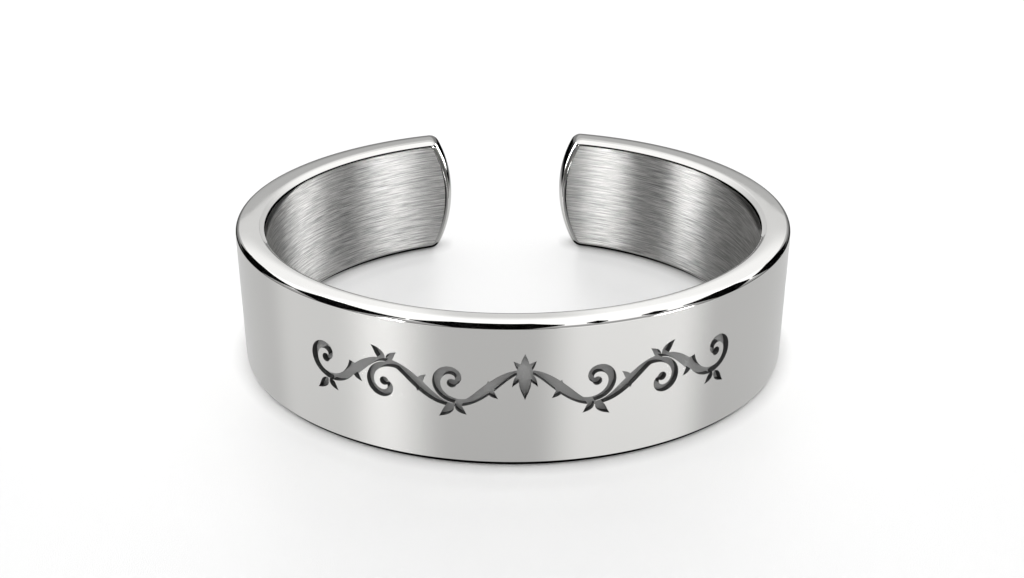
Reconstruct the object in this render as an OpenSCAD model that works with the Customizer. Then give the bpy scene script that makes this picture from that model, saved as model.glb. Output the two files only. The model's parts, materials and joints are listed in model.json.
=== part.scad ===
// Cuff ring: a flat band bent round the finger, with two free ends and a gap between them.
// The origin is the centre of the finger hole, and Z is the hole's axis.
// The ring lies on one edge of its band. The gap faces +Y, and the middle of the band -Y.

/* [Band] */
// Diameter of the finger hole
hole_d = 18.2; // [15:0.1:23]
// Thickness of the band
wall = 1.05; // [0.8:0.05:1.6]
// Width of the band, along the finger
band_w = 5.0; // [3.5:0.1:8]

/* [Edges] */
// Radius of the two edges on the outside
outer_edge_r = 0.18; // [0.1:0.02:0.3]
// Radius of the two edges that touch the finger
inner_edge_r = 0.26; // [0.1:0.02:0.4]

/* [Free ends] */
// Distance between the tips of the two ends
gap = 4.8; // [2:0.1:7]
// How far the tip of an end stands out past its corners
end_bulge = 0.7; // [0.4:0.1:1.2]
// Radius of the corners of an end
end_corner_r = 0.5; // [0.3:0.1:0.8]

/* [Hidden] */
$fn = 96;
// Segments of the small circles in the section
edge_fn = 24;

hole_r = hole_d / 2;
outer_r = hole_r + wall;
half_w = band_w / 2;

// The arc that bounds an end, from its chord and bulge, and the place where a corner's arc meets it
end_arc_r = (pow(half_w, 2) + pow(end_bulge, 2)) / (2 * end_bulge);
corner_a = asin((half_w - end_corner_r) / (end_arc_r - end_corner_r));
corner_x = end_arc_r - (end_arc_r - end_corner_r) * cos(corner_a);
corner_top = end_arc_r * sin(corner_a);
// The corner's arc is this much fuller than a tangent one, so that it crosses its neighbours cleanly
fuller = 0.02;

// Section of the band, cut through the axis: x is the radius, y the height
module band_section() {
    translate([hole_r + inner_edge_r, -half_w])
        square([wall - inner_edge_r - outer_edge_r, band_w]);
    translate([hole_r, inner_edge_r - half_w])
        square([inner_edge_r, band_w - 2 * inner_edge_r]);
    translate([outer_r - outer_edge_r, outer_edge_r - half_w])
        square([outer_edge_r, band_w - 2 * outer_edge_r]);
    for (side = [-1, 1]) {
        translate([hole_r + inner_edge_r, side * (half_w - inner_edge_r)])
            circle(r = inner_edge_r, $fn = edge_fn);
        translate([outer_r - outer_edge_r, side * (half_w - outer_edge_r)])
            circle(r = outer_edge_r, $fn = edge_fn);
    }
}

// Outline of a free end, seen along Y: the tip is at x = 0, the band runs towards +x, y is the height
module end_outline(length) {
    translate([corner_x, -half_w]) square([length, band_w]);
    for (side = [-1, 1])
        translate([corner_x, side * (half_w - end_corner_r)]) circle(r = end_corner_r + fuller);
    intersection() {
        translate([end_arc_r, 0]) circle(r = end_arc_r);
        translate([0, -corner_top]) square([corner_x, 2 * corner_top]);
    }
}

// The gap: cut straight through the wall along Y, and bounded by the two rounded ends
module gap_cut() {
    reach = gap / 2 + corner_x;
    over = 1;
    translate([0, outer_r + over, 0])
        rotate([90, 0, 0])
            linear_extrude(height = outer_r)
                difference() {
                    square([2 * reach, band_w + 2 * over], center = true);
                    for (side = [0, 1])
                        mirror([side, 0]) translate([gap / 2, 0]) end_outline(reach);
                }
}

// The band: a full hoop of the section, less the gap
module band() {
    color("silver")
        difference() {
            rotate_extrude() band_section();
            gap_cut();
        }
}

band();
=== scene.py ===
"""A cuff ring: a steel strip with rounded ends, engraved with a running vine and bent round the finger.

The strip is worked out flat, as a jeweller cuts it. Its outline and its softened edges are arcs,
its vine is a set of pen strokes, and one formula rolls every point of it up into the ring. The script
works in metres, and a size in millimetres is written with MM. The middle of the band faces -Y, and
the gap between the free ends +Y.
"""

import json
import math

import bpy
import numpy as np
from bpy.props import FloatProperty, FloatVectorProperty, IntProperty, PointerProperty
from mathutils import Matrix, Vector
from mathutils.geometry import delaunay_2d_cdt


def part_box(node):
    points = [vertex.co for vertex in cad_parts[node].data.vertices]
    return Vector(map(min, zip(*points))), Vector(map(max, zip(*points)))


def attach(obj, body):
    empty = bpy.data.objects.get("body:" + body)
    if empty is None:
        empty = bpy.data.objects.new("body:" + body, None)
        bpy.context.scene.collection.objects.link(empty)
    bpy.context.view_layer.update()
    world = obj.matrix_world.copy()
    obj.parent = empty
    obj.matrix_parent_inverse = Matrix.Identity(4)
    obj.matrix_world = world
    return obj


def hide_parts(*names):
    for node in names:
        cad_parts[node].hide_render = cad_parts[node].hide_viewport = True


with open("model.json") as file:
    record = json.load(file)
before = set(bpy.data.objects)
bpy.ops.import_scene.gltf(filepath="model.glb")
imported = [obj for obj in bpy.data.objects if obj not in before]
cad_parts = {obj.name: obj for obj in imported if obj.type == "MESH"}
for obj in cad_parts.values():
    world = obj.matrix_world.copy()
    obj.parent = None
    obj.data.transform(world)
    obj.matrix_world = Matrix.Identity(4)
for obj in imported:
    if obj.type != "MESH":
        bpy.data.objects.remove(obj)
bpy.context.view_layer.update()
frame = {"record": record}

bl_info = {
    "name": "Cuff Ring",
    "version": (1, 0, 0),
    "blender": (4, 5, 0),
    "location": "3D View > Sidebar > Ring",
    "description": "Builds an engraved cuff ring round the packed model and sets up its studio",
    "category": "Object",
}

MM = 0.001
BAND_LOW, BAND_HIGH = (np.array(corner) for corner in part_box("band"))
HOLE = next(mount for mount in frame["record"]["mounts"] if mount["name"] == "finger_hole")
HOLE_RADIUS = HOLE["dims"]["r_mm"] * MM
BAND_WIDTH = float(BAND_HIGH[2] - BAND_LOW[2])
INNER_EDGE = (BAND_WIDTH - HOLE["dims"]["length_mm"] * MM) / 2
# Finishes of the band, by their place in its list of materials
SATIN, BRUSHED, POLISHED, CUT_FLOOR, CUT_WALL = range(5)
# Steps along a free end's corner, the wide arc of an end and a long edge, and across an edge's
# rounding and its dome
CORNER_STEPS, END_STEPS, EDGE_STEPS = 12, 26, 360
ROUNDING_STEPS, DOME_STEPS = 10, 8


class RingSizes(bpy.types.PropertyGroup):
    """Sizes of the band"""
    hole_radius: FloatProperty(name="Hole radius", description="Radius of the finger hole",
                               default=HOLE_RADIUS, unit="LENGTH", precision=5)
    wall: FloatProperty(name="Wall", description="Thickness of the band",
                        default=1.05 * MM, unit="LENGTH", precision=5)
    width: FloatProperty(name="Width", description="Width of the band, along the finger",
                         default=BAND_WIDTH, unit="LENGTH", precision=5)
    inner_edge: FloatProperty(name="Inner edge", description="Radius of the edges against the finger",
                              default=INNER_EDGE, unit="LENGTH", precision=5)
    outer_edge: FloatProperty(name="Outer edge", description="Radius of the outside edges",
                              default=0.18 * MM, unit="LENGTH", precision=5)
    crown: FloatProperty(name="Crown", description="Tilt of the domed edge face where its corners begin",
                         default=math.radians(5), subtype="ANGLE")
    gap: FloatProperty(name="Gap", description="Distance between the tips of the free ends",
                       default=4.8 * MM, unit="LENGTH", precision=5)
    end_bulge: FloatProperty(name="End bulge", description="How far a tip stands out past its corners",
                             default=0.7 * MM, unit="LENGTH", precision=5)
    end_corner: FloatProperty(name="End corner", description="Radius of the corners of a free end",
                              default=0.5 * MM, unit="LENGTH", precision=5)


class VineSizes(bpy.types.PropertyGroup):
    """Sizes of the engraved vine"""
    half_wave: FloatProperty(name="Half wave", description="Length of one half wave of the stem",
                             default=2.15 * MM, unit="LENGTH", precision=5)
    sway: FloatProperty(name="Sway", description="How far the stem swings up and down",
                        default=0.62 * MM, unit="LENGTH", precision=5)
    coils: IntProperty(name="Coils", description="Coils on each side of the middle",
                       default=3, min=1, max=6)
    thin: FloatProperty(name="Thin stroke", description="Half width of the stem at its bends",
                        default=0.055 * MM, unit="LENGTH", precision=5)
    thick: FloatProperty(name="Thick stroke", description="Half width of the stem on its slopes",
                         default=0.17 * MM, unit="LENGTH", precision=5)
    raise_by: FloatProperty(name="Raise", description="Height of the stem above the middle of the band",
                            default=0.28 * MM, unit="LENGTH", precision=5)
    depth: FloatProperty(name="Depth", description="Depth of the cut",
                         default=0.2 * MM, unit="LENGTH", precision=5)


class SteelLook(bpy.types.PropertyGroup):
    """Colours and roughness of the steel"""
    steel: FloatVectorProperty(name="Steel", description="Colour of the bare steel",
                               default=(0.70, 0.695, 0.68), subtype="COLOR", min=0, max=1)
    groove: FloatVectorProperty(name="Groove", description="Colour of the matt floor of the engraving",
                                default=(0.30, 0.30, 0.295), subtype="COLOR", min=0, max=1)
    # The walls of the cut are near black, darker than its grey floor: painted shade along the cut's edges
    cut: FloatVectorProperty(name="Cut", description="Colour of the walls of the engraving",
                             default=(0.05, 0.05, 0.05), subtype="COLOR", min=0, max=1)
    satin: FloatProperty(name="Satin", description="Roughness of the outer wall", default=0.14)
    mirror: FloatProperty(name="Mirror", description="Roughness of the polished edges", default=0.05)
    brushed: FloatProperty(name="Brushed", description="Roughness of the inner wall", default=0.46)


class StudioLook(bpy.types.PropertyGroup):
    """The camera, the floor and the lights"""
    distance: FloatProperty(name="Distance", description="Camera to the middle of the ring's foot",
                            default=50.75 * MM, unit="LENGTH", precision=5)
    elevation: FloatProperty(name="Elevation", description="Camera's height as an angle",
                             default=math.radians(25.4), subtype="ANGLE")
    turn: FloatProperty(name="Turn", description="Camera's angle round the ring, to the left of the middle",
                        default=math.radians(2.1), subtype="ANGLE")
    lens: FloatProperty(name="Lens", description="Focal length on a 36 mm sensor", default=45.95)
    floor: FloatVectorProperty(name="Floor", description="Colour of the floor",
                               default=(0.45, 0.45, 0.45), subtype="COLOR", min=0, max=1)
    floor_grain: FloatProperty(name="Floor grain", description="How far the floor softens reflections",
                               default=0.5)
    glow: FloatProperty(name="Glow", description="Light that the floor's own light box gives",
                        default=0.42)
    key: FloatProperty(name="Key", description="Strength of the soft overhead light", default=1.0)


def arc_point(centre_a, centre_b, radius, angle):
    """Points at the angle on a circle: (a + r cos angle, b + r sin angle)."""
    return np.stack([centre_a + radius * np.cos(angle), centre_b + radius * np.sin(angle)], axis=-1)


def strip_outline(ring):
    """Outline of the flat strip, anticlockwise, with the outward normal at each point.

    A point is given by the angle of its normal. At a free end that angle runs from -90 to 90 degrees,
    over a corner's arc, the wide arc of the end and the other corner's arc, which all touch smoothly.
    The two long edges are straight. Columns are u, the length along the band, and v, the height.
    """
    half_w = ring.width / 2
    middle_r = ring.hole_radius + ring.wall / 2
    tip = middle_r * (math.pi - math.asin(ring.gap / 2 / middle_r))
    wide_r = (half_w ** 2 + ring.end_bulge ** 2) / (2 * ring.end_bulge)
    turn = math.asin((half_w - ring.end_corner) / (wide_r - ring.end_corner))
    corner_u = tip - wide_r + (wide_r - ring.end_corner) * math.cos(turn)
    corner_v = half_w - ring.end_corner
    low = np.linspace(-math.pi / 2, -turn, CORNER_STEPS + 1)
    mid = np.linspace(-turn, turn, END_STEPS + 1)[1:-1]
    high = -low[::-1]
    angle = np.concatenate([low, mid, high])
    end = np.concatenate([arc_point(corner_u, -corner_v, ring.end_corner, low),
                          arc_point(tip - wide_r, 0.0, wide_r, mid),
                          arc_point(corner_u, corner_v, ring.end_corner, high)])
    end_normal = np.stack([np.cos(angle), np.sin(angle)], axis=-1)
    u = np.linspace(-corner_u, corner_u, EDGE_STEPS + 1)[1:-1]
    edge = np.stack([u, np.full_like(u, -half_w)], axis=-1)
    edge_normal = np.tile((0.0, -1.0), (len(u), 1))
    points = np.concatenate([edge, end, -edge, -end])
    normals = np.concatenate([edge_normal, end_normal, -edge_normal, -end_normal])
    return points, normals


def edge_profile(ring):
    """Section of the strip's edge, from the inner wall to the outer wall, as three arcs that touch.

    A point is given by the tilt of its normal: -90 degrees faces the finger, 0 faces straight out of
    the edge, 90 degrees faces away from the finger. Returns the inset from the outline, the radius and
    the tilt. The middle arc domes the edge face slightly, and its radius follows from the wall.
    """
    lean = math.sin(ring.crown)
    corners = ring.inner_edge + ring.outer_edge
    dome_r = (ring.wall - corners * (1 - lean)) / (2 * lean)
    inner_tilt = np.linspace(-math.pi / 2, -ring.crown, ROUNDING_STEPS + 1)
    dome_tilt = np.linspace(-ring.crown, ring.crown, DOME_STEPS + 1)[1:-1]
    outer_tilt = np.linspace(ring.crown, math.pi / 2, ROUNDING_STEPS + 1)
    inner_r = ring.hole_radius + ring.inner_edge
    dome_mid = inner_r - ring.inner_edge * lean + dome_r * lean
    outer_r = ring.hole_radius + ring.wall - ring.outer_edge
    inner_drop = dome_r - (dome_r - ring.inner_edge) * math.cos(ring.crown)
    outer_drop = dome_r - (dome_r - ring.outer_edge) * math.cos(ring.crown)
    parts = ((inner_tilt, ring.inner_edge, inner_r, inner_drop),
             (dome_tilt, dome_r, dome_mid, dome_r),
             (outer_tilt, ring.outer_edge, outer_r, outer_drop))
    inset = np.concatenate([drop - r * np.cos(tilt) for tilt, r, mid, drop in parts])
    radius = np.concatenate([mid + r * np.sin(tilt) for tilt, r, mid, drop in parts])
    tilt = np.concatenate([part[0] for part in parts])
    return inset, radius, tilt


def roll_up(ring, u, v, radius):
    """Carries a point of the flat strip onto the ring.

    The length u becomes the angle u / middle radius round Z, starting at -Y, and v becomes the height.
    Near the gap the angle is set so that the distance from the gap's plane is the same at every
    radius, which makes the ends' faces parallel, as a straight cut through the wall does. The two
    rules blend as a smooth step between the near and the far angle from the gap's plane.
    """
    middle_r = ring.hole_radius + ring.wall / 2
    from_gap = math.pi - np.abs(u) / middle_r
    straight = np.arcsin(np.clip(middle_r * np.sin(from_gap) / radius, -1, 1))
    near, far = math.radians(24), math.radians(50)
    share = np.clip((far - from_gap) / (far - near), 0, 1)
    share = share * share * (3 - 2 * share)
    angle = math.pi - np.where(share > 0, from_gap + share * (straight - from_gap), from_gap)
    angle = angle * np.sign(u)
    x, y, z = np.broadcast_arrays(radius * np.sin(angle), -radius * np.cos(angle), v)
    return np.stack([x, y, z], axis=-1)


def roll_normal(ring, u, v, radius, normal):
    """Carries a normal (along u, v and the radius) onto the ring, through the slopes of roll_up."""
    step = 0.001 * MM
    along = roll_up(ring, u + step, v, radius) - roll_up(ring, u - step, v, radius)
    across = roll_up(ring, u, v + step, radius) - roll_up(ring, u, v - step, radius)
    out = roll_up(ring, u, v, radius + step) - roll_up(ring, u, v, radius - step)
    world = (normal[..., 0:1] * np.cross(across, out)
             + normal[..., 1:2] * np.cross(out, along)
             + normal[..., 2:3] * np.cross(along, across))
    return world / np.linalg.norm(world, axis=-1, keepdims=True)


# Size of a coil of the vine: its heart below the stem, its least radius, and the bead at its heart
HEART_DROP, HEART_RADIUS, BEAD_RADIUS = 0.27 * MM, 0.14 * MM, 0.15 * MM
COIL_POWER, COIL_TURNS = 2.1, 1.27
# Half widths of its stroke: where it leaves the stem, once grown, and what swells and thins it later
COIL_START, COIL_FULL, COIL_SWELL, COIL_THINNING = 0.02 * MM, 0.1 * MM, 0.035 * MM, 0.045 * MM
# Shares of its length at which the stroke has grown and starts to thin, and over which both happen
GROWN_AT, SWELL_OVER, THIN_FROM, THIN_OVER = 0.22, 0.5, 0.7, 0.3
# Leaves. Columns: heading in degrees, length and width in millimetres, and curl
BEND_LEAF = (62, 0.62, 0.28, -0.25)
BEND_LEAFLET = (118, 0.46, 0.22, 0.25)
LEAFLET_BACK = 0.1 * MM
BUD = (113, 0.42, 0.2, 0.3)
STAR_LEAVES = (
    (90, 0.62, 0.26, 0),
    (48, 0.5, 0.22, 0),
    (132, 0.5, 0.22, 0),
    (-90, 0.95, 0.36, 0),
    (-42, 0.62, 0.22, -0.2),
    (-138, 0.62, 0.22, 0.2),
)
# How far inside the stem's own bend its leaves start
LEAF_ROOT = 0.03 * MM


def pen_stroke(path, half_width):
    """Outline of a stroke: its path moved sideways by the half width, up one side and down the other."""
    along = np.gradient(path, axis=0)
    along /= np.linalg.norm(along, axis=1, keepdims=True)
    side = np.stack([-along[:, 1], along[:, 0]], axis=1) * half_width[:, None]
    return np.concatenate([path - side, (path + side)[::-1]])


def vine_leaf(base, leaf, side=1):
    """A pointed leaf: half its width goes as sin(pi t^0.7), and its rib bends aside as curl t^2.

    The side is 1, or -1 for the same leaf turned over to the stem's other side.
    """
    heading, length, width, curl = side * math.radians(leaf[0]), leaf[1] * MM, leaf[2] * MM, side * leaf[3]
    t = np.linspace(0.0, 1.0, 18)
    rib = np.stack([length * t, curl * length * t ** 2], axis=1)
    turn = np.array([[math.cos(heading), math.sin(heading)], [-math.sin(heading), math.cos(heading)]])
    blunt_foot, blunt_tip = 0.02, 0.985
    half_width = 0.5 * width * np.sin(math.pi * np.clip(t, blunt_foot, blunt_tip) ** 0.7)
    return pen_stroke(np.array(base) + rib @ turn, half_width)


def vine_coil(vine, number):
    """The coil in one half wave, with the bead at its heart.

    The coil starts on the stem, a quarter wave back, and its radius shrinks as (1 - t)^2.1 while it
    makes one turn and a quarter, on the hollow side of the stem. The last coil ends the stem, so it
    starts as thick as the stem is.
    """
    side = 1 if number % 2 == 0 else -1
    heart = np.array([number * vine.half_wave, -side * HEART_DROP])
    t = np.linspace(0.0, 1.0, 100)
    radius = HEART_RADIUS + (vine.half_wave / 2 - HEART_RADIUS) * (1 - t) ** COIL_POWER
    angle = math.pi - side * COIL_TURNS * 2 * math.pi * t
    path = heart + radius[:, None] * np.stack([np.cos(angle), np.sin(angle)], axis=1)
    start = vine.thick if number == vine.coils else COIL_START
    half_width = start + (COIL_FULL - start) * np.clip(t / GROWN_AT, 0, 1)
    half_width += COIL_SWELL * np.sin(math.pi * np.clip((t - GROWN_AT) / SWELL_OVER, 0, 1))
    half_width -= COIL_THINNING * np.clip((t - THIN_FROM) / THIN_OVER, 0, 1)
    bead_angle = np.linspace(0, 2 * math.pi, 20, endpoint=False)
    bead = arc_point(path[-1, 0], path[-1, 1], BEAD_RADIUS, bead_angle)
    return [pen_stroke(path, half_width), bead]


def vine_strokes(vine):
    """All strokes of the vine, as closed anticlockwise outlines on the flat strip.

    The stem is a cosine, thin at its bends and thick on its slopes. Each half wave has a coil, two
    leaves at its bend and a bud on its slope, mirrored to the other side, and leaves star out of the
    middle bend.
    """
    reach = (vine.coils - 0.5) * vine.half_wave
    u = np.linspace(-reach, reach, 420)
    stem = np.stack([u, vine.sway * np.cos(math.pi * u / vine.half_wave)], axis=1)
    slope = np.abs(np.sin(math.pi * u / vine.half_wave))
    strokes = [pen_stroke(stem, vine.thin + (vine.thick - vine.thin) * slope ** 1.5)]
    one_side = []
    for number in range(1, vine.coils + 1):
        side = 1 if number % 2 == 0 else -1
        bend = np.array([number * vine.half_wave, side * (vine.sway - LEAF_ROOT)])
        slope_middle = np.array([(number - 0.5) * vine.half_wave, 0.0])
        one_side += vine_coil(vine, number)
        one_side.append(vine_leaf(bend, BEND_LEAF, side))
        one_side.append(vine_leaf(bend - (LEAFLET_BACK, 0), BEND_LEAFLET, side))
        one_side.append(vine_leaf(slope_middle, BUD, side))
    for stroke in one_side:
        strokes += [stroke, (stroke * (-1, 1))[::-1]]
    strokes += [vine_leaf((0.0, vine.sway - LEAF_ROOT), leaf) for leaf in STAR_LEAVES]
    return [stroke + (0.0, vine.raise_by) for stroke in strokes]


def fill_face(outline, spacing, strokes=()):
    """Triangles that fill an outline on the flat strip, cut along the strokes inside it.

    A grid of loose points keeps the triangles short along u, so that they follow the bend. Returns
    the points, the triangles, the place of each outline point among the points, and which of the
    triangles lie in a stroke. The filling is done in millimetres, where its tolerance suits the sizes.
    """
    low, high = outline.min(axis=0), outline.max(axis=0)
    counts = np.maximum(2, ((high - low) / spacing).astype(int))
    margin = 0.35 * np.asarray(spacing)
    grid_u, grid_v = np.meshgrid(np.linspace(low[0], high[0], counts[0] + 1)[1:-1],
                                 np.linspace(low[1], high[1], counts[1] + 1)[1:-1])
    grid = np.stack([grid_u.ravel(), grid_v.ravel()], axis=1)
    on_low_edge = outline[:, 1] < low[1] + 1e-6 * MM
    straight_end = np.abs(outline[on_low_edge, 0]).max()
    grid = grid[np.abs(grid[:, 0]) < straight_end - margin[0]]
    loops = [outline, *strokes]
    starts = np.cumsum([0] + [len(loop) for loop in loops])
    faces = [list(range(a, b)) for a, b in zip(starts[:-1], starts[1:])]
    points = np.concatenate([*loops, grid]) / MM
    only_inside, tolerance = 1, 1e-6
    filled, _, triangles, point_sources, _, face_sources = delaunay_2d_cdt(
        [Vector(point) for point in points.tolist()], [], faces, only_inside, tolerance, True)
    flat = np.array([tuple(point) for point in filled]) * MM
    place = np.full(len(points), -1)
    shares = [len(sources) for sources in point_sources]
    place[np.concatenate(point_sources).astype(int)] = np.repeat(np.arange(len(flat)), shares)
    in_stroke = np.array([max(sources, default=0) > 0 for sources in face_sources])
    return flat, np.array(triangles, dtype=int), place[:len(outline)], in_stroke


def strip_uv(flat, ring):
    """Map of the strip: its length and height, both over the length, so that nothing is stretched."""
    length = 2 * math.pi * (ring.hole_radius + ring.wall / 2)
    return flat / length + 0.5


def band_mesh(ring, vine):
    """The whole band as one closed mesh, with its true normals.

    The inner and outer faces are filled outlines. The rim between them is the edge profile carried
    round the outline. Inside a stroke the outer face is sunk by the depth of the cut, and a wall
    joins the two levels.
    """
    outline, outward = strip_outline(ring)
    inset, radius, tilt = edge_profile(ring)
    outer_r = ring.hole_radius + ring.wall
    floor_r = outer_r - vine.depth
    spacing = (0.25 * MM, 0.5 * MM)

    outer_flat, outer_tris, outer_rim, sunk = fill_face(outline - outward * inset[-1], spacing,
                                                        vine_strokes(vine))
    inner_flat, inner_tris, inner_rim, _ = fill_face(outline - outward * inset[0], spacing)
    rows = np.arange(1, len(inset) - 1)
    rim_flat = (outline[None] - outward[None] * inset[rows, None, None]).reshape(-1, 2)
    rim_radius = np.repeat(radius[rows], len(outline))

    floor_start = len(outer_flat)
    inner_start = 2 * floor_start
    rim_start = inner_start + len(inner_flat)
    flat = np.concatenate([outer_flat, outer_flat, inner_flat, rim_flat])
    reach = np.concatenate([np.full(floor_start, outer_r), np.full(floor_start, floor_r),
                            np.full(len(inner_flat), ring.hole_radius), rim_radius])

    # A wall stands on each directed edge of a sunk triangle whose other side is not sunk
    sunk_tris, flush_tris = outer_tris[sunk], outer_tris[~sunk]
    ends = np.concatenate([sunk_tris[:, [0, 1]], sunk_tris[:, [1, 2]], sunk_tris[:, [2, 0]]])
    other = np.concatenate([flush_tris[:, [1, 0]], flush_tris[:, [2, 1]], flush_tris[:, [0, 2]]])
    on_wall = np.isin(ends @ (floor_start, 1), other @ (floor_start, 1))
    a, b = ends[on_wall].T
    walls = np.stack([a, b, b + floor_start, a + floor_start], axis=1)
    run = outer_flat[b] - outer_flat[a]
    run /= np.linalg.norm(run, axis=1, keepdims=True)
    wall_normal = np.stack([-run[:, 1], run[:, 0], np.zeros(len(run))], axis=1)

    columns = len(outline)
    ring_index = np.concatenate([(inner_start + inner_rim)[None],
                                 rim_start + np.arange(len(rows) * columns).reshape(-1, columns),
                                 outer_rim[None]])
    following = np.roll(ring_index, -1, axis=1)
    rim = np.stack([ring_index[:-1], following[:-1], following[1:], ring_index[1:]], axis=-1)
    rim_normal = np.concatenate([np.cos(tilt)[:, None, None] * outward[None],
                                 np.broadcast_to(np.sin(tilt)[:, None, None],
                                                 (len(tilt), columns, 1))], axis=-1)
    next_normal = np.roll(rim_normal, -1, axis=1)
    rim_normals = np.stack([rim_normal[:-1], next_normal[:-1], next_normal[1:], rim_normal[1:]],
                           axis=-2)

    up = np.array([0.0, 0.0, 1.0])
    parts = (
        (flush_tris, np.broadcast_to(up, (len(flush_tris), 3, 3)), SATIN),
        (sunk_tris + floor_start, np.broadcast_to(up, (len(sunk_tris), 3, 3)), CUT_FLOOR),
        (walls, np.repeat(wall_normal[:, None], 4, axis=1), CUT_WALL),
        (inner_start + inner_tris[:, ::-1], np.broadcast_to(-up, (len(inner_tris), 3, 3)), BRUSHED),
        (rim.reshape(-1, 4), rim_normals.reshape(-1, 4, 3), POLISHED),
    )
    corners = np.concatenate([faces.ravel() for faces, _, _ in parts])
    corner_normal = np.concatenate([normals.reshape(-1, 3) for _, normals, _ in parts])
    finish = np.concatenate([np.full(len(faces), slot) for faces, _, slot in parts])
    normals = roll_normal(ring, flat[corners, 0], flat[corners, 1], reach[corners], corner_normal)

    used = np.unique(corners)
    renumber = np.zeros(len(flat), dtype=int)
    renumber[used] = np.arange(len(used))
    points = roll_up(ring, flat[used, 0], flat[used, 1], reach[used])
    faces = [face for group, _, _ in parts for face in renumber[group].tolist()]

    mesh = bpy.data.meshes.new("ring_band")
    mesh.from_pydata(points.tolist(), [], faces)
    mesh.polygons.foreach_set("material_index", finish)
    mesh.polygons.foreach_set("use_smooth", np.ones(len(faces), dtype=bool))
    uv = mesh.uv_layers.new(name="strip")
    uv.data.foreach_set("uv", strip_uv(flat[corners], ring).ravel())
    mesh.normals_split_custom_set(normals.tolist())
    mesh.update()
    return mesh


class Nodes:
    """Short calls for the nodes of one material or world."""

    def __init__(self, owner):
        owner.use_nodes = True
        self.tree = owner.node_tree
        self.tree.nodes.clear()

    def add(self, kind, **settings):
        """Adds a node, and sets its properties and, by name or number, its inputs."""
        node = self.tree.nodes.new(kind)
        for name, value in settings.items():
            if name == "inputs":
                for key, given in value.items():
                    self.feed(node, key, given)
            else:
                setattr(node, name, value)
        return node

    def feed(self, node, key, given):
        """Sets an input to a value, or links it to another node's output."""
        if isinstance(given, bpy.types.NodeSocket):
            self.tree.links.new(given, node.inputs[key])
        else:
            node.inputs[key].default_value = given

    def math(self, operation, *values):
        """One operation on values or outputs."""
        node = self.add("ShaderNodeMath", operation=operation, inputs=dict(enumerate(values)))
        return node.outputs[0]

    def split(self, vector):
        """The sockets of x, y and z of a vector."""
        return self.add("ShaderNodeSeparateXYZ", inputs={0: vector}).outputs

    def place(self):
        """The sockets of x, y and z of the place on the object."""
        return self.split(self.add("ShaderNodeTexCoord").outputs["Object"])

    def bump(self, height, strength, distance):
        """The normal that a height gives."""
        return self.add("ShaderNodeBump", inputs={"Strength": strength, "Distance": distance,
                                                  "Height": height}).outputs[0]

    def mix(self, share, low, high):
        """A number between two others."""
        return self.add("ShaderNodeMix", data_type="FLOAT",
                        inputs={0: share, 2: low, 3: high}).outputs[0]

    def finish(self, kind, shader):
        """Links the last shader to the output."""
        output = self.add(kind)
        self.tree.links.new(shader.outputs[0], output.inputs[0])

    def ramp(self, value, low, high, to_low=0.0, to_high=1.0):
        """Smooth step of a value from one range to another."""
        node = self.add("ShaderNodeMapRange", interpolation_type="SMOOTHSTEP",
                        inputs={0: value, 1: low, 2: high, 3: to_low, 4: to_high})
        return node.outputs[0]

    def grain(self, stretch, detail, seed):
        """Noise on the strip's own map. Stretch is its rate along and across the whole strip."""
        strip = self.add("ShaderNodeUVMap", uv_map="strip").outputs[0]
        scaled = self.add("ShaderNodeMapping", inputs={"Vector": strip, "Scale": (*stretch, 1.0),
                                                       "Location": (seed, 0.0, 0.0)}).outputs[0]
        noise = self.add("ShaderNodeTexNoise", inputs={"Vector": scaled, "Scale": 1.0,
                                                       "Detail": detail, "Roughness": 0.6})
        return noise.outputs[0]


def tint(nodes, colour, value, darkest):
    """The colour, darkened towards a share of itself where the value is low.

    Inputs 0, 6 and 7 of the mix are its share and its two colours, and output 2 is its colour.
    """
    dark = (*[channel * darkest for channel in colour], 1.0)
    mix = nodes.add("ShaderNodeMix", data_type="RGBA", inputs={0: value, 6: dark, 7: (*colour, 1.0)})
    return mix.outputs[2]


def steel_finish(name, **inputs):
    """A metal shader with its output, to which a finish adds its own pattern."""
    material = bpy.data.materials.new(name)
    nodes = Nodes(material)
    shader = nodes.add("ShaderNodeBsdfPrincipled", inputs={"Metallic": 1.0, **inputs})
    nodes.finish("ShaderNodeOutputMaterial", shader)
    return material, nodes, shader


def satin_steel(look):
    """Outer wall: a fine satin polish, with very faint marks across the band."""
    material, nodes, shader = steel_finish("satin_steel")
    marks = nodes.grain((2600.0, 320.0), 3.0, 3.1)
    nodes.feed(shader, "Base Color", tint(nodes, look.steel, marks, 0.96))
    nodes.feed(shader, "Roughness", nodes.ramp(marks, 0.3, 0.7, look.satin * 0.88, look.satin * 1.12))
    nodes.feed(shader, "Normal", nodes.bump(marks, 0.05, 0.01 * MM))
    return material


def brushed_steel(look):
    """Inner wall: brushed round the finger, so it spreads light up and down the wall."""
    quarter_turn = 0.25
    material, nodes, shader = steel_finish("brushed_steel", Anisotropic=1.0,
                                           **{"Anisotropic Rotation": quarter_turn})
    fine = nodes.grain((60.0, 2400.0), 5.0, 1.7)
    long = nodes.grain((30.0, 950.0), 3.0, 8.3)
    streaks = nodes.math("ADD", nodes.math("MULTIPLY", fine, 0.6), nodes.math("MULTIPLY", long, 0.4))
    contrast = nodes.ramp(streaks, 0.38, 0.62)
    nodes.feed(shader, "Base Color", tint(nodes, look.steel, contrast, 0.38))
    nodes.feed(shader, "Roughness", nodes.ramp(streaks, 0.3, 0.7, look.brushed * 0.75,
                                               look.brushed * 1.25))
    x, y, _ = nodes.place()
    round_axis = nodes.add("ShaderNodeCombineXYZ", inputs={0: nodes.math("MULTIPLY", y, -1.0), 1: x})
    nodes.feed(shader, "Tangent", round_axis.outputs[0])
    nodes.feed(shader, "Normal", nodes.bump(streaks, 0.5, 0.03 * MM))
    return material


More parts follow.
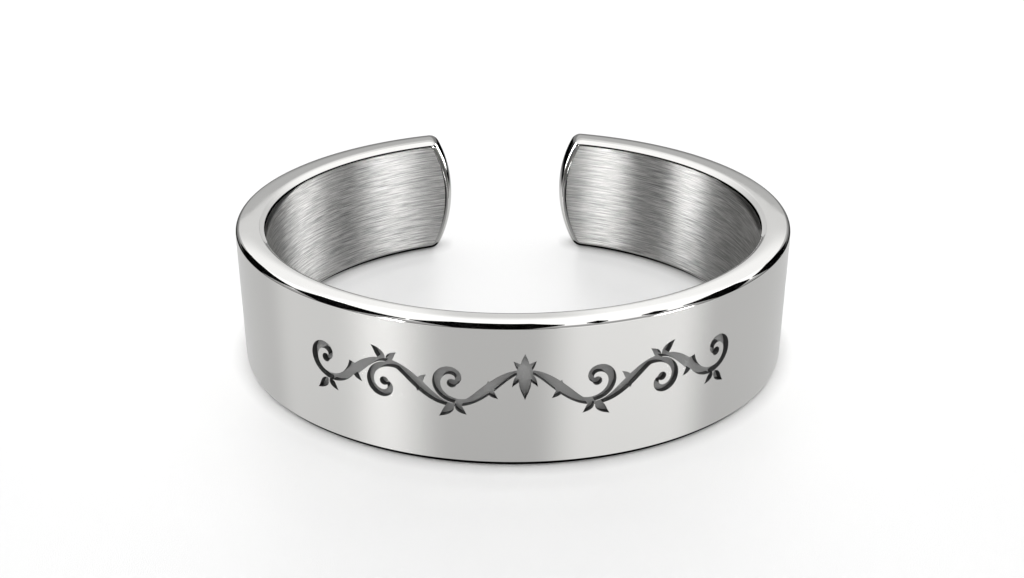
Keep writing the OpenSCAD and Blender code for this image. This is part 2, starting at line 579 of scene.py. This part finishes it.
def polished_steel(look):
    """Edges: a bright mirror polish with a trace of wear."""
    material, nodes, shader = steel_finish("polished_steel")
    wear = nodes.grain((90.0, 400.0), 4.0, 5.9)
    bright = [min(1.0, channel * 1.12) for channel in look.steel]
    nodes.feed(shader, "Base Color", tint(nodes, bright, wear, 0.97))
    nodes.feed(shader, "Roughness", nodes.ramp(wear, 0.35, 0.75, look.mirror, look.mirror * 2))
    return material


def cut_steel(name, colour):
    """A face of the cut: dark and matt, with the fine grain that the tool leaves. On the walls its
    near-black colour is painted shade along the edges of the cut.
    """
    material, nodes, shader = steel_finish(name, Metallic=0.0, Roughness=0.62)
    grain = nodes.grain((1500.0, 1500.0), 4.0, 2.3)
    nodes.feed(shader, "Base Color", tint(nodes, colour, grain, 0.7))
    nodes.feed(shader, "Normal", nodes.bump(grain, 0.4, 0.02 * MM))
    return material


# Light of the studio by direction, seen from the ring. Azimuth 0 is the camera's side, 90 the right.
# Columns: azimuth, half width, lowest and highest elevation, softness, all in degrees, and strength.
PANELS = (
    # The lit table below the horizon: a wide light patch on each side, and a dimmer one far left
    (-56.0, 14.0, -90.0, -16.0, 28.0, 0.72),
    (47.0, 31.0, -90.0, -16.0, 22.0, 0.52),
    (-94.0, 18.0, -90.0, -16.0, 18.0, 0.24),
    # A pale screen in front of the ring, to the right
    (33.0, 18.0, -18.0, 80.0, 4.0, 0.9),
    # A dim grey wall all round, which other sides of the polished edges show
    (0.0, 180.0, 14.0, 34.0, 1.0, 0.36),
    # Upright strip lights
    (-49.0, 4.3, -13.0, 80.0, 3.0, 44.0),
    (-98.0, 6.0, -6.0, 50.0, 5.0, 28.0),
    (62.0, 7.5, -13.0, 80.0, 6.0, 26.0),
    (118.0, 9.0, -6.0, 50.0, 5.0, 14.0),
)
# Strength of the lit table, and of the screen behind the ring at its foot and at its top
TABLE_LIGHT, SCREEN_LOW, SCREEN_HIGH = 0.84, 0.31, 1.3
# What a second reflection sees: a calm grey, and a share of the studio up to a highest strength
CALM_LIGHT, CALM_SHARE, CALM_MOST = 0.32, 0.55, 1.3
# Elevations in degrees: the far edge of the lit table, its two steps of shade towards the ring's foot,
# and the foot, the brightening and the top of the screen
TABLE_EDGE, TABLE_SHADE, TABLE_FOOT = (-20.0, -12.0), (-34.0, -24.0), (-47.0, -33.0)
SCREEN_FOOT, SCREEN_RISE, SCREEN_TOP = (-4.0, 3.0), (22.0, 44.0), (50.0, 56.0)
# The share of +Y in a direction from which it begins and comes fully to point behind the ring
BEHIND = (0.62, 0.86)


def panel_mask(nodes, azimuth, elevation, panel):
    """1 inside a panel and 0 outside it, with smooth edges."""
    centre, half_width, lowest, highest, soft, _ = (math.radians(value) for value in panel)
    offset = nodes.math("WRAP", nodes.math("SUBTRACT", azimuth, centre), math.pi, -math.pi)
    sideways = nodes.ramp(nodes.math("ABSOLUTE", offset), half_width - soft / 2,
                          half_width + soft / 2, 1.0, 0.0)
    edge = math.radians(3)
    over = nodes.ramp(elevation, lowest - edge, lowest + edge)
    under = nodes.ramp(elevation, highest - edge, highest + edge, 1.0, 0.0)
    return nodes.math("MULTIPLY", sideways, nodes.math("MULTIPLY", over, under))


def studio_world():
    """Light from all round: a dark room with upright light strips, over a lit table.

    Behind the ring stands a screen that brightens upwards. Only the steel shows all this, and a
    reflection of a reflection shows it fainter, over one calm grey. The camera, the matt faces and the
    floor's clear gloss see plain white, so that the backdrop stays plain.
    """
    world = bpy.data.worlds.new("studio")
    bpy.context.scene.world = world
    nodes = Nodes(world)
    x, y, z = nodes.split(nodes.add("ShaderNodeTexCoord").outputs["Generated"])
    azimuth = nodes.math("ARCTAN2", x, nodes.math("MULTIPLY", y, -1.0))
    elevation = nodes.math("ARCSINE", z)

    def by_elevation(span, to_low=0.0, to_high=1.0):
        low, high = (math.radians(value) for value in span)
        return nodes.ramp(elevation, low, high, to_low, to_high)

    screen = by_elevation(SCREEN_RISE, SCREEN_LOW, SCREEN_HIGH)
    for share in (nodes.ramp(y, *BEHIND), by_elevation(SCREEN_FOOT), by_elevation(SCREEN_TOP, 1.0, 0.0)):
        screen = nodes.math("MULTIPLY", screen, share)
    light = nodes.mix(by_elevation(TABLE_EDGE, 1.0, 0.0), screen, TABLE_LIGHT)
    for panel in PANELS:
        mask = panel_mask(nodes, azimuth, elevation, panel)
        light = nodes.math("ADD", light, nodes.math("MULTIPLY", mask, panel[-1]))
    for share in (by_elevation(TABLE_SHADE, 0.9, 1.0), by_elevation(TABLE_FOOT)):
        light = nodes.math("MULTIPLY", light, share)

    path = nodes.add("ShaderNodeLightPath").outputs
    again = nodes.math("GREATER_THAN", path["Glossy Depth"], 1.5)
    faint = nodes.math("MULTIPLY_ADD", nodes.math("MINIMUM", light, CALM_MOST), CALM_SHARE, CALM_LIGHT)
    studio = nodes.add("ShaderNodeBackground", inputs={"Strength": nodes.mix(again, light, faint)})
    plain = nodes.add("ShaderNodeBackground", inputs={"Color": (1.0, 1.0, 1.0, 1.0), "Strength": 1.0})
    steel = nodes.math("MULTIPLY", path["Is Glossy Ray"],
                       nodes.math("SUBTRACT", 1.0, path["Is Singular Ray"]))
    seen = nodes.add("ShaderNodeMixShader", inputs={0: steel, 1: plain.outputs[0], 2: studio.outputs[0]})
    nodes.finish("ShaderNodeOutputWorld", seen)


# The card over the ring: its corners in x and y, and its height over the middle of the band's width.
# The card inside the ring: its radius, and how far it lies below the ring's foot. In millimetres
OVER_CORNERS = ((-12.0, -5.0), (-8.0, -11.5), (8.0, -11.5), (12.0, -5.0), (18.0, 20.0), (-18.0, 20.0))
OVER_HEIGHT = 9.8
INSIDE_RADIUS, INSIDE_DROP, INSIDE_STEPS = 8.9, 0.1, 48


def mirror_prop(name, points, faces, glow):
    """An object of the stage that only the steel's reflections show.

    Its glow is a function of the nodes and of the sockets of x, y and z, and gives the strength.
    """
    material = bpy.data.materials.new(name)
    nodes = Nodes(material)
    light = nodes.add("ShaderNodeEmission", inputs={"Strength": glow(nodes, nodes.place())})
    nodes.finish("ShaderNodeOutputMaterial", light)
    mesh = bpy.data.meshes.new(name)
    mesh.from_pydata(points.tolist(), [], faces)
    mesh.materials.append(material)
    prop = bpy.data.objects.new(name, mesh)
    prop.visible_camera = False
    prop.visible_diffuse = False
    prop.visible_shadow = False
    bpy.context.scene.collection.objects.link(prop)


def black(nodes, place):
    """No glow."""
    return 0.0


def over_glow(nodes, place):
    """Brightest over the front of the ring, and brighter towards both sides than in the middle."""
    x, y, _ = place
    front = nodes.ramp(y, 0.0, 7.0 * MM, 1.55, 0.80)
    sides = nodes.ramp(nodes.math("ABSOLUTE", x), 1.5 * MM, 5.0 * MM, 0.0, 0.35)
    not_far = nodes.ramp(y, 12.0 * MM, 17.0 * MM, 1.0, 0.0)
    return nodes.math("MULTIPLY_ADD", sides, not_far, front)


def inside_glow(nodes, place):
    """Black in the middle of the ring and at both sides, and grey close to the rest of its wall."""
    x, y, _ = place
    square = nodes.math("MULTIPLY_ADD", x, x, nodes.math("MULTIPLY", y, y))
    near_wall = nodes.ramp(nodes.math("SQRT", square), 4.0 * MM, 8.7 * MM, 0.0, 0.34)
    not_side = nodes.ramp(nodes.math("ABSOLUTE", x), 6.4 * MM, 8.4 * MM, 1.0, 0.0)
    return nodes.math("MULTIPLY", near_wall, not_side)


def studio_cards(level):
    """A white card over the ring, and a dark one inside its foot that keeps the inner wall calm."""
    over = np.insert(OVER_CORNERS, 2, OVER_HEIGHT, axis=1) * MM
    mirror_prop("card_over", over, [tuple(range(len(over)))], over_glow)
    turn = np.linspace(0, 2 * math.pi, INSIDE_STEPS, endpoint=False)
    inside = arc_point(0.0, 0.0, INSIDE_RADIUS * MM, turn)
    inside = np.insert(inside, 2, level - INSIDE_DROP * MM, axis=1)
    mirror_prop("card_inside", inside, [tuple(range(INSIDE_STEPS))], inside_glow)


# Black flags close to the upper outside edge of the band, which draw the broken dark line in its
# polished rounding. Angles run from the middle of the band to the right, in degrees. Columns: start,
# end, and the lengths over which the flag narrows to a point at its start and at its end.
FLAGS = (
    (-75.0, -47.0, 9.0, 12.0),
    (-48.0, -21.5, 8.0, 13.0),
    (-20.8, 7.0, 8.0, 6.0),
    (11.0, 15.0, 4.0, 4.0),
    (21.5, 27.0, 5.0, 5.0),
    (30.5, 49.5, 8.0, 5.0),
    (50.5, 72.0, 6.0, 9.0),
)
# A collar behind the flags, as long as they are, and one along the upper inside edge at the back,
# which keep the narrow lights off the edges
COLLAR = ((-66.0, 63.0, 1.0, 1.0),)
INNER_COLLAR = (
    (74.0, 161.0, 1.0, 1.0),
    (-161.0, -74.0, 1.0, 1.0),
)
# Black flags below the inner collar at both sides, where the inner wall darkens towards its far ends
SIDE_FLAGS = (
    (78.0, 117.0, 8.0, 25.0),
    (-117.0, -78.0, 25.0, 8.0),
)
# Sections of all these, full and at a flag's point: distance from the wall that the edge bounds, and
# height over the edge, in millimetres
FLAG_SECTION = ((0.10, -0.175), (0.10, 0.10), (-0.15, 0.10))
FLAG_POINT = ((0.10, 0.02), (0.10, 0.10), (0.08, 0.10))
COLLAR_SECTION = ((0.12, -0.18), (0.12, 0.12), (-0.17, 0.12))
INNER_SECTION = ((0.06, -0.27), (0.06, 0.07), (-0.14, 0.07))
SIDE_SECTION = ((0.06, -0.62), (0.06, -0.18))
SIDE_POINT = ((0.06, -0.24), (0.06, -0.18))
STEPS_PER_DEGREE = 2


def edge_prop(name, ring, rows, full, point, glow, inside=False):
    """A strip bent round an upper edge of the band, in rows of start, end and two tapers.

    At each angle the section is the point plus a share of what the full section has over it. The
    share is the lesser of the parts of the two tapers that are passed there, and 1 at most.
    """
    edge_r, away = (ring.hole_radius, -MM) if inside else (ring.hole_radius + ring.wall, MM)
    full, point = np.array(full), np.array(point)
    points, faces, count = [], [], 0
    for start, end, taper_in, taper_out in rows:
        degrees = np.linspace(start, end, int((end - start) * STEPS_PER_DEGREE) + 3)
        share = np.minimum(1.0, np.minimum((degrees - start) / taper_in, (end - degrees) / taper_out))
        section = point + share[:, None, None] * (full - point)
        reach = edge_r + section[..., 0] * away
        height = ring.width / 2 + section[..., 1] * MM
        turn = np.radians(degrees)[:, None]
        grid = np.stack([reach * np.sin(turn), -reach * np.cos(turn), height], axis=-1)
        index = count + np.arange(height.size).reshape(height.shape)
        quads = np.stack([index[:-1, :-1], index[1:, :-1], index[1:, 1:], index[:-1, 1:]], axis=-1)
        points.append(grid.reshape(-1, 3))
        faces += quads.reshape(-1, 4).tolist()
        count += height.size
    mirror_prop(name, np.concatenate(points), faces, glow)


def studio_flags(ring):
    """The collars and the black flags close to the edges of the band."""
    top = ring.width / 2

    def collar_glow(nodes, place):
        """Grey below the edge, and white from the edge up."""
        return nodes.ramp(place[2], top - 0.06 * MM, top, 0.42, 1.35)

    def inner_glow(nodes, place):
        """Black at its foot and white above, less so towards both sides of the ring."""
        back = nodes.ramp(place[1], 0.5 * MM, 5.0 * MM, 0.72, 1.25)
        return nodes.math("MULTIPLY", back, nodes.ramp(place[2], top - 0.20 * MM, top - 0.17 * MM))

    edge_prop("collar", ring, COLLAR, COLLAR_SECTION, COLLAR_SECTION, collar_glow)
    edge_prop("flags", ring, FLAGS, FLAG_SECTION, FLAG_POINT, black)
    edge_prop("inner_collar", ring, INNER_COLLAR, INNER_SECTION, INNER_SECTION, inner_glow, inside=True)
    edge_prop("side_flags", ring, SIDE_FLAGS, SIDE_SECTION, SIDE_POINT, black, inside=True)


# Half the floor's side, the size and rate of its grain, and how far the painted shadow round the ring's
# foot reaches
FLOOR_HALF = 2.0
GRAIN_HEIGHT, GRAIN_RATE = 0.05 * MM, 60000.0
PAINTED_SHADE_REACH = 0.65 * MM
# Width of the camera's sensor in its own millimetres, and the frame's shift in shares of its width
SENSOR_WIDTH = 36.0
FRAME_SHIFT = (-0.001, 0.04)


def studio_floor(look, level):
    """A wide pale floor with a clear gloss over a very fine grain, which softens its reflections.

    Its own glow fades where the ring stands close, by the share of the open space above it, which paints a
    contact shadow round the ring's foot.
    """
    corners = ((-1, -1), (1, -1), (1, 1), (-1, 1))
    mesh = bpy.data.meshes.new("floor")
    mesh.from_pydata([(x * FLOOR_HALF, y * FLOOR_HALF, level) for x, y in corners], [], [(0, 1, 2, 3)])
    material = bpy.data.materials.new("pale_floor")
    nodes = Nodes(material)
    spot = nodes.add("ShaderNodeTexCoord").outputs["Object"]
    grain = nodes.add("ShaderNodeTexNoise", inputs={"Vector": spot, "Scale": GRAIN_RATE, "Detail": 0.0})
    # Ambient occlusion dims the floor's glow near the ring: a painted contact shadow
    painted_contact_shade = nodes.add("ShaderNodeAmbientOcclusion", samples=8, inputs={"Distance": PAINTED_SHADE_REACH})
    shader = nodes.add("ShaderNodeBsdfPrincipled", inputs={
        "Base Color": (*look.floor, 1.0),
        "Roughness": 0.0,
        "Metallic": 0.22,
        "Normal": nodes.bump(grain.outputs[0], look.floor_grain, GRAIN_HEIGHT),
        "Emission Color": (1.0, 1.0, 1.0, 1.0),
        "Emission Strength": nodes.math("MULTIPLY", painted_contact_shade.outputs["AO"], look.glow),
    })
    nodes.finish("ShaderNodeOutputMaterial", shader)
    mesh.materials.append(material)
    floor = bpy.data.objects.new("floor", mesh)
    floor.visible_glossy = False
    bpy.context.scene.collection.objects.link(floor)


def studio_key(look):
    """One wide soft light from above and behind, which lights the floor and no mirror."""
    softness, lean_back, lean_side = math.radians(70), math.radians(-18), math.radians(6)
    light = bpy.data.lights.new("key", "SUN")
    light.energy = look.key
    light.angle = softness
    key = bpy.data.objects.new("key", light)
    key.rotation_euler = (lean_back, lean_side, 0.0)
    key.visible_glossy = False
    bpy.context.scene.collection.objects.link(key)


def studio_camera(look, level):
    """The camera, aimed at the middle of the ring's foot, with the frame raised a little."""
    data = bpy.data.cameras.new("camera")
    data.lens = look.lens
    data.sensor_width = SENSOR_WIDTH
    data.shift_x, data.shift_y = FRAME_SHIFT
    data.clip_start = MM
    camera = bpy.data.objects.new("camera", data)
    towards = Vector((-math.sin(look.turn) * math.cos(look.elevation),
                      -math.cos(look.turn) * math.cos(look.elevation),
                      math.sin(look.elevation)))
    camera.location = Vector((0.0, 0.0, level)) + towards * look.distance
    camera.rotation_euler = towards.to_track_quat("Z", "Y").to_euler()
    bpy.context.scene.collection.objects.link(camera)
    bpy.context.scene.camera = camera


class RING_OT_band(bpy.types.Operator):
    """Make the engraved band"""
    bl_idname = "ring.band"
    bl_label = "Band"

    def execute(self, context):
        scene = context.scene
        mesh = band_mesh(scene.ring_sizes, scene.vine_sizes)
        look = scene.steel_look
        finishes = {SATIN: satin_steel(look), BRUSHED: brushed_steel(look),
                    POLISHED: polished_steel(look), CUT_FLOOR: cut_steel("cut_floor", look.groove),
                    # cut_wall takes the near-black colour that paints shade along the edges of the cut
                    CUT_WALL: cut_steel("cut_wall", look.cut)}
        for slot in sorted(finishes):
            mesh.materials.append(finishes[slot])
        band = bpy.data.objects.new("ring_band", mesh)
        scene.collection.objects.link(band)
        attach(band, "root")
        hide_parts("band")
        return {"FINISHED"}


class RING_OT_stage(bpy.types.Operator):
    """Set up the floor, the lights and the camera"""
    bl_idname = "ring.stage"
    bl_label = "Stage"

    def execute(self, context):
        look = context.scene.studio_look
        level = float(BAND_LOW[2])
        studio_world()
        studio_cards(level)
        studio_flags(context.scene.ring_sizes)
        studio_floor(look, level)
        studio_key(look)
        studio_camera(look, level)
        context.scene.view_settings.view_transform = "Standard"
        return {"FINISHED"}


class RING_PT_panel(bpy.types.Panel):
    """Sizes, finishes and steps of the ring"""
    bl_label = "Cuff Ring"
    bl_idname = "RING_PT_panel"
    bl_space_type = "VIEW_3D"
    bl_region_type = "UI"
    bl_category = "Ring"

    def draw(self, context):
        for name, group in GROUPS.items():
            box = self.layout.box()
            box.label(text=group.__doc__)
            for prop in group.__annotations__:
                box.prop(getattr(context.scene, name), prop)
        for operator in OPERATORS:
            self.layout.operator(operator.bl_idname)


GROUPS = {"ring_sizes": RingSizes, "vine_sizes": VineSizes, "steel_look": SteelLook,
          "studio_look": StudioLook}
OPERATORS = (RING_OT_band, RING_OT_stage)


def register():
    for group in (*GROUPS.values(), *OPERATORS, RING_PT_panel):
        bpy.utils.register_class(group)
    for name, group in GROUPS.items():
        setattr(bpy.types.Scene, name, PointerProperty(type=group))


def unregister():
    for name in GROUPS:
        delattr(bpy.types.Scene, name)
    for group in (RING_PT_panel, *OPERATORS, *GROUPS.values()):
        bpy.utils.unregister_class(group)


def main():
    register()
    bpy.ops.ring.band()
    bpy.ops.ring.stage()


if __name__ == "__main__":
    main()
